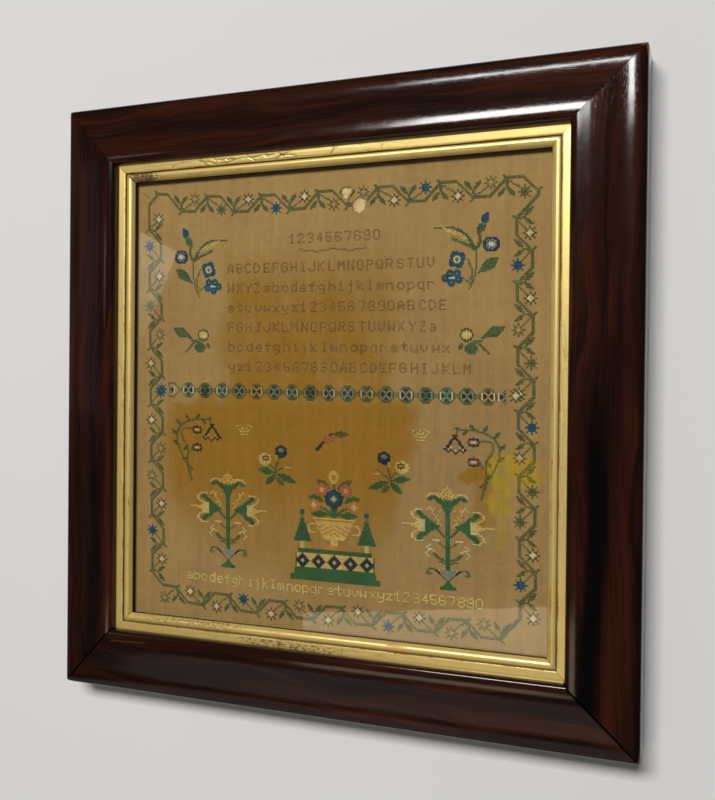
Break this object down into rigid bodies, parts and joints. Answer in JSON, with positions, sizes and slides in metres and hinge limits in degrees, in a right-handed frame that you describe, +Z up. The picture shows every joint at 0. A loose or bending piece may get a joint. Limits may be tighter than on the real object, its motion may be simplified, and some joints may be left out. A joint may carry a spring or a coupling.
{
  "type": "cross stitch sampler in a glazed picture frame",
  "caption": "Stitched sampler cloth behind glass in a dark polished ogee-moulded wooden frame with mitred corners and a gilt inner slip; lies on its back.",
  "frame": {"origin": "middle of the back, on the surface that the frame lies on", "axes": "+Z up out of the glass, +X to the right of the picture, +Y to the top of the picture"},
  "size_m": [0.55, 0.566, 0.0465],
  "materials": {
    "polished_wood": "dark veneer, polished",
    "gilt": "gold leaf on gesso, rubbed and cracked",
    "glass": "clear, thin",
    "cloth": "fine plain weave, stained",
    "board": "bare pale board"
  },
  "bodies": {
    "root": {"rail_bottom": "polished_wood", "rail_left": "polished_wood", "rail_top": "polished_wood", "rail_right": "polished_wood", "slip_bottom": "gilt", "slip_left": "gilt", "slip_top": "gilt", "slip_right": "gilt", "glass": "glass", "cloth": "cloth", "backing_board": "board"}
  },
  "joints": []
}
